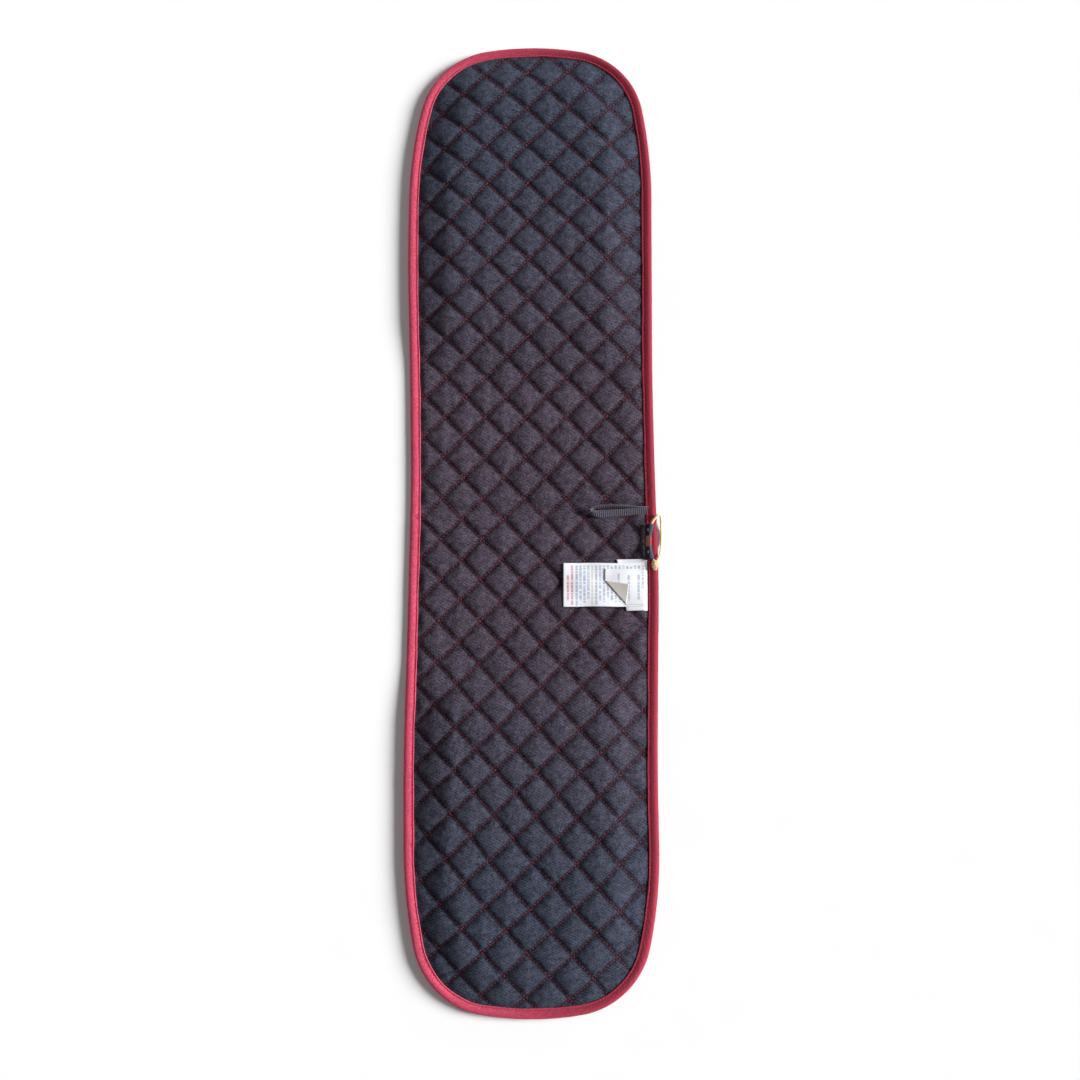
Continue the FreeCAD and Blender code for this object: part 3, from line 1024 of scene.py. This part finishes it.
def bind_mouth(end, hand, side, away):
    """The tape folded over the pocket's mouth, which runs under the edge binding at its end."""
    low, high = 0.8, 2.75
    length = HALF_WIDTH - 3.0
    x = np.arange(0, length + 0.5, 1.0)
    ripple = 0.09 * np.sin(x * 2 * pi / STITCH_PITCH) + 0.08 * np.sin(x / 6 + away)
    rings, rub = [], []
    for depth, share, extra in binding_profile():
        body = bell((depth - 3.8) / 2.4)
        z = low + (high - low) * share + extra * 0.85 + copysign(1, extra) * ripple * body
        wx, wy = warp(side * x, np.full_like(x, away * (MOUTH_Y + depth)))
        rings.append(xyz(wx, wy, np.maximum(z, 0.04)))
        rub.append(np.full(len(x), 0.8 if depth > 7.2 else 0.25))
    sections = np.stack(rings, 1)
    if side * away > 0:
        sections = sections[:, ::-1]
    obj = new_mesh(f"mouth_binding_{end}_{hand}", *tube(sections), TAPE_RED)
    point_value(obj, "rub", np.concatenate([np.stack(rub, 1).ravel(), [0.5, 0.5]]))
    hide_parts(f"mouth_binding_{end}")
    opens_with(obj)
    at = np.arange(1.2, length - 6, STITCH_PITCH)
    line = np.stack(warp(side * at, np.full_like(at, away * (MOUTH_Y + STITCH_INSET))), -1)
    ways = np.tile([1.0, 0, 0], (len(at), 1))
    runs = [(at_height(line, z), ways, sign) for z, sign in ((high + 0.5, 1), (low - 0.5, -1))]
    stitches = stitch_mesh(f"mouth_stitches_{end}_{hand}", runs, TAPE_THREAD, TAPE_STITCH_RADIUS)
    opens_with(stitches)


# ---- tapes and labels

def slab(name, surface, thick, material):
    """A thin sheet with thickness from a grid of places. Returns it and how many points each skin has."""
    normal = unit(np.cross(np.gradient(surface, axis=0), np.gradient(surface, axis=1)))
    nu, nv = surface.shape[:2]
    number = np.arange(nu * nv).reshape(nu, nv)
    corners = [number[:-1, :-1], number[1:, :-1], number[1:, 1:], number[:-1, 1:]]
    faces = np.stack([c.ravel() for c in corners], -1)
    top = (surface + normal * thick / 2).reshape(-1, 3)
    bottom = (surface - normal * thick / 2).reshape(-1, 3)
    points, quads = closed_pad(top, bottom, faces)
    return new_mesh(name, points, quads, material), nu * nv


def lie_on(pad, x, y, spread=5.0):
    """Height of a stiffish sheet lying on the pad: the highest place near each point, smoothed."""
    points = np.empty(len(pad.data.vertices) * 3)
    pad.data.vertices.foreach_get("co", points)
    points = points.reshape(-1, 3) / MM
    near = points[(np.abs(points[:, 0] - x.mean()) < 60) & (np.abs(points[:, 1] - y.mean()) < 40)]
    flat = np.stack([x.ravel(), y.ravel()], -1)
    far = np.linalg.norm(flat[:, None] - near[None, :, :2], axis=-1)
    high = np.where(far < spread, near[None, :, 2], 0).max(1)
    weight = np.exp(-((np.linalg.norm(flat[:, None] - flat[None], axis=-1) / spread) ** 2))
    return ((weight @ high) / weight.sum(1)).reshape(x.shape)


def care_label(name, pad, box, lift, print_rows, tone, corner=None, left_top=None):
    """A white satin label sewn under the binding at its right end.

    box is where its left, lower and upper edges are, and lift how far it lies over the lowest label.
    left_top is where its left edge meets its top, if it was sewn in askew. corner is a line that its
    corner is folded over at: two places on it.
    """
    left, low, high = box
    step = 0.8
    root = SEAM_X + 0.9
    counts = int((root - left) / step), int((high - low) / step)
    t, w = np.meshgrid(*(np.linspace(0, 1, count) for count in counts), indexing="ij")
    top_left = left if left_top is None else left_top
    start = left + (top_left - left) * w
    x = start + (root - start) * t
    y = low + (high - low) * w + 0.6 * np.sin(w * 3) * (1 - t) + 0.15 * np.sin(x / 6)
    z = lie_on(pad, x, y) + 0.5 + lift
    z += 0.22 * np.sin(x / 7.1 + lift * 5) * np.sin(y / 8.3 + lift * 9)
    z += 0.5 * (1 - smooth(t * 6)) * (w - 0.4)
    sewn = smooth((x - (SEAM_X - 1.3)) / 2.1)
    z = z * (1 - sewn) + (3.6 + lift * 0.4) * sewn
    surface = xyz(x, y, z)
    if corner is not None:
        surface = fold_over(surface, *corner)
    obj, skin = slab(name + "_satin", surface, 0.14, satin(name + "_weave", rgb(*tone), print_rows))
    point_value(obj, "printed", np.repeat([1.0, 0.0], skin))
    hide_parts(name)
    start, end = ((SEAM_X + 0.5) * MM, low * MM, 0), ((SEAM_X - 5) * MM, low * MM, 0)
    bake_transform(obj)
    return obj


def fold_over(surface, first, second, radius=0.12):
    """Rolls the part of a sheet beyond a line back over the rest."""
    first, second = np.array(first), np.array(second)
    along = unit(second - first)
    inward = np.array([-along[1], along[0]])
    beyond = -((surface[..., :2] - first) @ inward)
    turned = np.clip(beyond / radius, 0, pi)
    back = np.clip(beyond - pi * radius, 0, None)
    moved = np.where(beyond > 0, beyond - radius * np.sin(turned) + back, 0)
    out = surface.copy()
    out[..., :2] += moved[..., None] * inward
    out[..., 2] += radius * (1 - np.cos(turned)) + 0.055 * back + 0.004 * back**2
    return out


def care_labels(pad):
    """Three labels stacked on one seam, each lying on the one before."""
    pale, grey, red = rgb(120, 138, 176), rgb(132, 144, 164), rgb(196, 44, 74)
    ochre = rgb(196, 186, 150)
    back = care_label(
        "care_label_back", pad, (71.5, -73.3, -34.3), 0.0, [], (222, 224, 230), left_top=64.2
    )
    rows = [(29.8, 32.6, -66.0, -38.8, 2.8, red), (26.6, 29.4, -60.5, -46.5, 2.8, red)]
    rows += [(33.2, 45.0, -67.0, -39.0, 2.95, pale), (45.0, 48.0, -66.0, -39.0, 2.9, ochre)]
    rows += [(48.0, 86.0, -66.0, -39.0, 2.95, grey)]
    long_one = care_label(
        "care_label_long", pad, (23.9, -70.2, -37.2), 0.24, rows, (236, 239, 244)
    )
    rows = [(65.0, 67.6, -58.0, -45.0, 2.6, grey), (72.5, 75.6, -61.0, -46.5, 3.0, grey)]
    rows += [(80.0, 83.2, -60.0, -46.0, 3.0, grey)]
    corner = ((54.6, -49.4), (72.4, -70.0))
    short = care_label(
        "care_label_short", pad, (55.3, -69.0, -41.6), 0.46, rows, (232, 233, 236), corner
    )


def ribbed_sweep(name, path, across, width, thick, pitch, material):
    """A ribbed tape along a path. across gives the direction of its width at each place."""
    walked = walk(path)
    at = np.arange(0, walked[-1], pitch / 5)
    path, across = resample(at, walked, path), resample(at, walked, across)
    width = np.interp(at, walked, width)
    way = unit(np.gradient(path, axis=0))
    across = unit(across - way * (across * way).sum(1, keepdims=True))
    face = np.cross(way, across)
    rib = 0.5 + 0.5 * np.cos(at * 2 * pi / pitch)
    sides = 16
    rings = []
    for angle in 2 * pi * np.arange(sides) / sides:
        a = copysign(abs(cos(angle)) ** 0.55, cos(angle)) * width / 2
        b = copysign(abs(sin(angle)) ** 0.8, sin(angle)) * (thick / 2 - 0.16 + 0.32 * rib)
        rings.append(path + across * a[:, None] + face * b[:, None])
    obj = new_mesh(name, *tube(np.stack(rings, 1)), material)
    point_value(obj, "rib", np.concatenate([np.repeat(rib, sides), [0.5, 0.5]]))
    return obj


def soft_curve(points, count):
    """Places along a smooth curve through the points (Catmull-Rom)."""
    points = np.array(points, float)
    padded = np.concatenate([2 * points[:1] - points[1:2], points, 2 * points[-1:] - points[-2:-1]])
    t = np.linspace(0, len(points) - 1 - 1e-6, count)
    k = t.astype(int)
    f = (t - k)[:, None]
    p0, p1, p2, p3 = (padded[k + shift] for shift in range(4))
    square, cube = 2 * p0 - 5 * p1 + 4 * p2 - p3, 3 * p1 - p0 - 3 * p2 + p3
    return 0.5 * (2 * p1 + (p2 - p0) * f + square * f**2 + cube * f**3)


def hanging_loop():
    """A loop of ribbed tape: its lower leg lies nearly flat and its upper one leans steeply.

    Each row is a place, the tilt of the tape's width there in degrees, and that width.
    """
    rows = [(88.2, 2.6, 5.2, 52, 5.2), (80, 2.2, 6.6, 40, 5.4), (70, 1.4, 7.2, 28, 5.6)]
    rows += [(58, 0.5, 7.4, 18, 5.6), (49.5, 0.2, 7.7, 20, 5.4), (45.6, 1.7, 8.1, 48, 4.8)]
    rows += [(46.4, 4.3, 8.4, 66, 4.6), (52, 5.6, 8.4, 68, 4.8), (62, 5.8, 8.2, 66, 5.0)]
    rows += [(73, 5.1, 7.8, 62, 5.2), (81, 4.4, 7.3, 60, 5.2), (88.2, 4.0, 6.0, 52, 5.2)]
    rows = soft_curve(rows, 400)
    tilt = np.radians(rows[:, 3])
    across = xyz(0 * tilt, np.cos(tilt), np.sin(tilt))
    turn = smooth((50 - rows[:, 0]) / 6)
    across[:, 0] = -0.35 * turn
    obj = ribbed_sweep("hanging_loop_tape", rows[:, :3], across, rows[:, 4], 1.05, 1.45, loop_tape())
    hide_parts("hanging_loop")
    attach(obj, "hanging_loop")


def side_label():
    """A ribbon folded over the string like a tunnel, with its fold outwards."""
    y = np.linspace(-34.6, -7.5, 40)
    middle = 1 - np.abs(y + 21) / 13.6
    fold = 92.6 - 1.7 * smooth(middle * 1.3)
    rows = []
    for place_y, reach, bulge in zip(y, fold, middle):
        lean = 0.25 * sin(place_y / 4)
        top = 9.15 + 0.25 * lean - 0.35 * smooth(bulge * 1.5)
        section = [(86.1, 4.9), (86.6, 6.4), (87.6, 8.0), (89.2, top), (reach - 1.3, top - 0.35)]
        section += [(reach - 0.15, 7.9), (reach - 0.15, 6.9), (reach - 1.4, 6.15), (89.2, 5.95), (87.4, 5.75)]
        rows.append(soft_curve([(x, place_y + 0.25 * sin(x), z) for x, z in section], 46))
    surface = np.stack(rows, 1)
    obj = slab("side_label_ribbon", surface, 0.35, woven_ribbon())[0]
    share = np.linspace(0, 2, surface.shape[0])[:, None] * np.ones(surface.shape[1])
    point_value(obj, "across", np.tile(share.ravel(), 2))
    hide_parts("side_label")
    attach(obj, "side_label")


# ---- string

STRING_DIAMETER = 1.3
KNOT = (93.4, -39.0, 7.7)
STRING_ROUTE = (
    (93.2, -37.0, 7.7), (91.2, -33.2, 7.5), (90.2, -27.0, 7.4), (90.4, -20.0, 7.4),
    (90.2, -13.0, 7.4), (90.9, -7.0, 7.8), (93.2, -3.6, 8.0), (96.0, -0.9, 7.5),
    (97.6, -0.7, 6.0), (98.4, -3.2, 3.8), (98.5, -7.5, 1.8), (98.9, -13.5, 0.92),
    (98.7, -20.5, 0.92), (98.2, -26.5, 1.9), (97.0, -31.5, 4.9), (95.2, -35.0, 7.2),
    (93.9, -37.8, 7.7),
)


def route_line():
    """Places along the string's NURBS spline, in millimetres."""
    data = bpy.data.curves.new("string_route", "CURVE")
    data.dimensions = "3D"
    data.resolution_u = 14
    spline = data.splines.new("NURBS")
    spline.points.add(len(STRING_ROUTE) - 1)
    for point, where in zip(spline.points, STRING_ROUTE):
        point.co = (*(c * MM for c in where), 1)
    spline.order_u = 3
    spline.use_endpoint_u = True
    obj = put("string_route", data)
    bpy.context.view_layer.update()
    mesh = bpy.data.meshes.new_from_object(obj.evaluated_get(bpy.context.evaluated_depsgraph_get()))
    line = np.array([tuple(vertex.co) for vertex in mesh.vertices]) / MM
    bpy.data.objects.remove(obj)
    bpy.data.meshes.remove(mesh)
    return line


def frames_along(path):
    """Two directions across a path at each place, carried along it without spin."""
    way = unit(np.gradient(path, axis=0))
    side = np.cross(way[0], (0, 0, 1.0))
    sides = []
    for direction in way:
        side = unit(side - direction * (side @ direction))
        sides.append(side)
    sides = np.array(sides)
    return sides, np.cross(way, sides)


def plied(path, radius, plies, turn, swell=None):
    """Points and faces of a cord of a few strands laid round each other.

    turn is the length in which they go round once. swell gives the cord's relative thickness at a place.
    """
    walked = walk(path)
    at = np.arange(0, walked[-1], 0.28)
    path = resample(at, walked, path)
    one, two = frames_along(path)
    strands = []
    thick = np.ones(len(at)) if swell is None else swell(path)
    strand = radius / (1 + 1 / sin(pi / plies)) * 1.18
    for ply in range(plies):
        angle = at * 2 * pi / turn + 2 * pi * ply / plies
        reach = ((radius - strand) * thick)[:, None]
        centre = path + (one * np.cos(angle)[:, None] + two * np.sin(angle)[:, None]) * reach
        rough = thick + 0.07 * np.sin(at * 3.1 + ply) + 0.05 * np.sin(at * 7.7 + 2 * ply)
        rings = []
        for around in 2 * pi * np.arange(8) / 8:
            spoke = one * cos(around) + two * sin(around)
            rings.append(centre + spoke * (strand * rough)[:, None])
        strands.append(tube(np.stack(rings, 1)))
    return combined(strands)


def doubled(path):
    """The string is thicker where it leaves the side label, up to its turn over the glove's edge."""
    x, y = path[:, 0], path[:, 1]
    return 1 + 0.38 * smooth((y + 9) / 3) * smooth((97.2 - x) / 1.2)


def string_and_knot():
    """The string through the side label, and the knot: a wrapped core with a short tail beside it."""
    material = straw_string()
    line = route_line()
    strands = plied(line, STRING_DIAMETER / 2 + 0.12, 3, 5.2, swell=doubled)
    string = new_mesh("tag_string_strands", *strands, material)
    turns = 4.2
    t = np.linspace(0, 1, 160)
    angle = t * turns * 2 * pi
    y = KNOT[1] + 3.1 - 5.0 * t + 0.25 * np.sin(angle * 0.5)
    reach = 1.3 + 0.25 * np.sin(t * pi)
    wraps = xyz(KNOT[0] - 0.2 + reach * 1.25 * np.cos(angle), y, KNOT[2] + reach * np.sin(angle))
    core = [(93.5, -36.2, 7.7), (93.3, -38.5, 7.8), (93.5, -40.5, 7.7)]
    core += [(93.7, -41.8, 7.6), (93.9, -43.0, 7.5)]
    tail = [(93.0, -38.0, 7.9), (92.8, -40.4, 8.1), (92.7, -42.6, 7.9)]
    parts = [plied(wraps, 0.72, 2, 4.0), plied(soft_curve(core, 40), 1.15, 3, 5.0)]
    parts += [plied(soft_curve(tail, 30), 0.75, 3, 4.0)]
    knot = new_mesh("string_knot_wraps", *combined(parts), material)
    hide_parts("string_knot")
    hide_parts("tag_string")
    for obj in (string, knot):
        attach(obj, "tag_string")


string_and_knot()
pad = quilted_pad()
quilting_stitches()
edge_binding()
binding_stitches()
pocket("lower", -1)
pocket("upper", 1)
care_labels(pad)
hanging_loop()
side_label()
